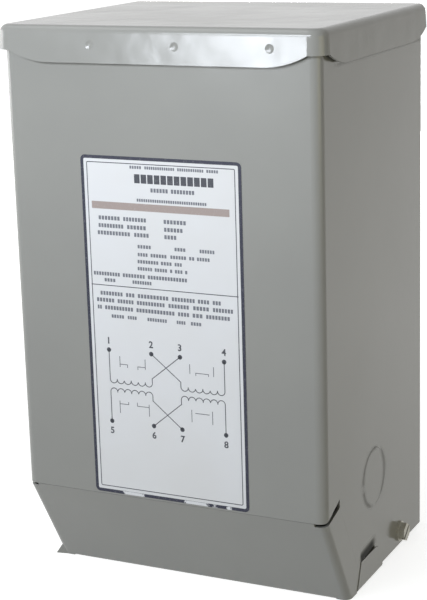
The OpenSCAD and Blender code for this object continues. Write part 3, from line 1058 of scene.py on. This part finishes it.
@dataclass
class FrontLabel:
    """The printed rating label on the front panel, with a plain generic print.

    Places on it are given across and up from the middle of the label's lower edge.

    Attributes:
        width: Width of the film.
        height: Height of the film.
        shift: Distance of its middle from the middle of the front panel, to the right.
        foot: Height of its lower edge over the floor.
        corner: Radius of its corners.
        film: Thickness of the film.
        ink: Height of the print over the film.
        border: Width of the printed border.
        margin: Distance from the label's edge to the inner line.
        rule_corner: Radius of the corners of the inner line.
        hairline: Width of the inner line and of the drawn lines.
        band_size: Width, height and radius of the corners of the tan band.
        band_at: Place of its middle.
        heading: Left end, right end, middle's height, block height and filled share of the heading.
        parting: Both ends of the line that parts the two halves.
        terminals: Places of the terminals, across.
        upper: Heights of the upper terminals and of their windings.
        lower: Heights of the lower terminals and of their windings.
        bows: Number of bows in a winding.
        lead: Length of the upright end of a crossed lead.
        dot: Radius of a terminal's dot.
        mark_line: Width of the thin lines beside the windings.
        number: Height of the numbers.
        over: Distance of a number's middle over an upper terminal.
        under: Distance of a number's middle under a lower terminal.
    """

    width: float = 78.4 * MM
    height: float = 158 * MM
    shift: float = 0.4 * MM
    foot: float = 48.4 * MM
    corner: float = 2.2 * MM
    film: float = 0.12 * MM
    ink: float = 0.03 * MM
    border: float = 1.5 * MM
    margin: float = 2.9 * MM
    rule_corner: float = 0.8 * MM
    hairline: float = 0.38 * MM
    band_size: tuple[float, ...] = (67.6 * MM, 3.3 * MM, 0.2 * MM)
    band_at: Point = (-0.6 * MM, 135.7 * MM)
    heading: tuple[float, ...] = (-12.5 * MM, 26.5 * MM, 148.4 * MM, 4 * MM, 0.84)
    parting: tuple[Point, Point] = ((-36.3 * MM, 99.1 * MM), (36.3 * MM, 99.1 * MM))
    terminals: tuple[float, ...] = (-29.0 * MM, -7.4 * MM, 7.0 * MM, 28.7 * MM)
    upper: Pair = (69.0 * MM, 55.2 * MM)
    lower: Pair = (35.1 * MM, 49.2 * MM)
    bows: int = 6
    lead: float = 2.2 * MM
    dot: float = 1.1 * MM
    mark_line: float = 0.28 * MM
    number: float = 3 * MM
    over: float = 4.2 * MM
    under: float = 4.6 * MM

    def build(self) -> None:
        """Models the film and each layer of the print, and sets them on the front panel."""
        front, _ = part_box("case")
        at = (self.shift, front.y, self.foot)
        middle = (0, self.height / 2)
        film = joined("label_film", [flat_plate(self.width, self.height, self.corner, middle)])
        thicken(film, 0, self.film)
        set_on_case(film, FILM, 0, at)
        edge = flat_plate(self.width, self.height, self.corner, middle, self.border)
        border = joined("label_border", [edge])
        rule_w = self.width - 2 * self.margin
        rule_h = self.height - 2 * self.margin
        inner = flat_plate(rule_w, rule_h, self.rule_corner, middle, self.hairline)
        rule = joined("label_inner_line", [inner])
        for layer, finish in (
            (border, NAVY_INK),
            (rule, CHARCOAL_INK),
            (self.band(), TAN_INK),
            (self.title(), CHARCOAL_INK),
            (self.text_rows(), GREY_INK),
            (self.diagram(), CHARCOAL_INK),
            (self.link_marks(), CHARCOAL_INK),
            (self.terminal_numbers(), CHARCOAL_INK),
        ):
            thicken(layer, self.film / 2, self.film + self.ink)
            set_on_case(layer, finish, 0, at)

    def band(self) -> Piece:
        """Models the tan band under the heading, one face thick."""
        return joined("label_band", [flat_plate(*self.band_size, self.band_at)])

    def title(self) -> Piece:
        """Models the heading as large plain blocks, and the line that parts the two halves."""
        line = flat_line(*self.parting, self.hairline)
        return joined("label_heading", [flat_word(*self.heading), line])

    def text_rows(self) -> Piece:
        """Models the small print as rows of plain blocks."""
        words = [(*ends, up, tall) for up, tall, row in TEXT_ROWS for ends in row]
        return joined("label_text_rows", [flat_word(*(size * MM for size in word)) for word in words])

    def diagram(self) -> Piece:
        """Models the winding diagram: four windings, their leads and the terminal dots.

        Returns:
            The layer of print, one face thick.
        """
        first, second, third, fourth = self.terminals
        flats = []
        for (terminals, windings), side in ((self.upper, Side.DOWN), (self.lower, Side.UP)):
            for left, right in ((first, second), (third, fourth)):
                flats.append(flat_winding((left, windings), right - left, self.bows, side, self.hairline))
            reach = windings - side.value * self.lead
            for start, end in (
                ((first, terminals), (first, windings)),
                ((fourth, terminals), (fourth, windings)),
                ((second, windings), (second, reach)),
                ((third, windings), (third, reach)),
                ((second, reach), (third, terminals)),
                ((third, reach), (second, terminals)),
            ):
                flats.append(flat_line(start, end, self.hairline))
            for x in self.terminals:
                flats.append(flat_dot((x, terminals), self.dot))
        return joined("label_diagram", flats)

    def link_marks(self) -> Piece:
        """Models the short thin lines that show which leads are linked, beside each winding."""
        ends = [[(x * MM, up * MM) for x, up in mark] for mark in LINK_MARKS]
        return joined("label_link_marks", [flat_line(*both, self.mark_line) for both in ends])

    def terminal_numbers(self) -> Piece:
        """Models a plain number at each terminal.

        Returns:
            The layer of print, one face thick.
        """
        flats = []
        for digit, x in enumerate(self.terminals, start=1):
            lower_digit = digit + len(self.terminals)
            flats.append(flat_numeral(str(digit), (x, self.upper[0] + self.over), self.number))
            flats.append(flat_numeral(str(lower_digit), (x, self.lower[0] - self.under), self.number))
        return joined("label_terminal_numbers", flats)


@dataclass
class PhotoCamera:
    """The camera at the photograph's viewing angle.

    Attributes:
        turn: Angle round to the right of straight ahead, in degrees.
        rise: Angle above level, in degrees.
        roll: Turn about the line of sight, in degrees.
        distance: Distance from the point that it looks at.
        target: That point.
        lens: Focal length in millimetres.
        picture: Height of the picture behind the lens in millimetres.
        nearest: Distance under which nothing shows.
    """

    turn: float = 26.07
    rise: float = 14.34
    roll: float = -1.68
    distance: float = 729.1 * MM
    target: Place = (24.75 * MM, -64.0 * MM, 145.1 * MM)
    lens: float = 100.43
    picture: float = 36
    nearest: float = 10 * MM

    def build(self) -> None:
        """Adds the camera and makes it the scene's own."""
        turn, rise, roll = (math.radians(a) for a in (self.turn, self.rise, self.roll))
        round_part = Matrix.Rotation(turn, 4, "Z")
        upward = Matrix.Rotation(QUARTER_TURN - rise, 4, "X")
        place = round_part @ upward @ Matrix.Rotation(roll, 4, "Z")
        place.translation = Vector(self.target) + place.col[2].xyz * self.distance
        data = bpy.data.cameras.new("photo_camera")
        data.sensor_fit = "VERTICAL"
        data.sensor_height = self.picture
        data.lens = self.lens
        data.clip_start = self.nearest
        camera = bpy.data.objects.new("photo_camera", data)
        camera.matrix_world = place
        bpy.context.scene.collection.objects.link(camera)
        bpy.context.scene.camera = camera
        LOG.info("camera %s from %s", data.name, tuple(round(v, 3) for v in place.translation))


@dataclass(frozen=True)
class Softbox:
    """One soft studio lamp.

    Attributes:
        name: Name of the lamp.
        place: Where it stands.
        aim: Point that it faces.
        size: Its width and height.
        power: Its power in watts.
        tint: Colour of its light.
        beam: Angle in degrees over which it shines; a grid on the lamp makes it narrower.
    """

    name: str
    place: Place
    aim: Place
    size: Pair
    power: float
    tint: Tint = Tint.PLAIN
    beam: float = 180

    def build(self) -> None:
        """Adds the lamp."""
        data = bpy.data.lights.new(self.name, "AREA")
        data.shape = "RECTANGLE"
        data.size, data.size_y = self.size
        data.energy = self.power
        data.color = self.tint.value
        data.spread = math.radians(self.beam)
        lamp = bpy.data.objects.new(self.name, data)
        lamp.location = self.place
        sight = Vector(self.aim) - Vector(self.place)
        lamp.rotation_euler = sight.to_track_quat("-Z", "Y").to_euler()
        bpy.context.scene.collection.objects.link(lamp)


@dataclass
class Studio:
    """Pale floor, white surroundings and soft lamps.

    Attributes:
        floor_size: Width of the floor.
        floor_drop: Depth of the floor under the part, so that the two don't share a face.
        ambient: Strength of the surroundings as a light.
        lamps: The lamps.
    """

    floor_size: float = 8.0
    floor_drop: float = 0.1 * MM
    ambient: float = 0.135
    lamps: tuple[Softbox, ...] = (
        Softbox("overhead_softbox", (-0.38, -0.16, 1.05), (0, -0.06, 0.26), (0.7, 0.4), 1.3),
        Softbox(
            "key_softbox", (-0.07, -0.56, 0.42), (-0.04, -0.06, 0.42), (0.36, 0.16), 1.62, Tint.COOL, 126
        ),
        Softbox("low_softbox", (-0.593, -1.47, 0.28), (0.03, -0.07, 0.25), (0.16, 0.2), 2.9, Tint.COOL),
        Softbox("right_softbox", (1.2, -0.3, 0.22), (0, 0, 0.1), (0.8, 0.4), 1.1, Tint.WARM),
        Softbox("left_softbox", (-1.2, -0.05, 0.25), (0, 0, 0.12), (0.8, 0.4), 3),
        Softbox("rear_softbox", (-0.4, 1.3, 0.13), (0, 0.06, 0.13), (0.6, 0.2), 6),
    )

    def build(self) -> None:
        """Adds the floor, the surroundings and the lamps."""
        deselect()
        bpy.ops.mesh.primitive_plane_add(size=self.floor_size, location=(0, 0, -self.floor_drop))
        floor = bpy.context.object
        floor.name = "studio_floor"
        FLOOR.dress(floor)
        self.surround()
        for lamp in self.lamps:
            lamp.build()
        LOG.info("studio with %d lamps", len(self.lamps))

    def surround(self) -> None:
        """Makes the surroundings white to the eye and in reflections, and a soft light elsewhere."""
        world = bpy.data.worlds.new("white_surroundings")
        bpy.context.scene.world = world
        world.use_nodes = True
        nodes = Nodes(world.node_tree)
        strength = nodes.add("MapRange", {"Value": nodes.shown_rays(), "To Min": self.ambient})
        nodes.fill(world.node_tree.nodes["Background"], {"Color": WHITE, "Strength": strength})


def main() -> None:
    """Sets up the studio, dresses the part, and models its label and other small pieces."""
    logging.basicConfig(level=logging.INFO, format="%(name)s: %(message)s")
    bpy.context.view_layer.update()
    bpy.context.scene.view_settings.view_transform = "Standard"
    PhotoCamera().build()
    Studio().build()
    Enclosure().dress()
    KnockoutPaint().build()
    FrontLabel().build()


if __name__ == "__main__":
    main()
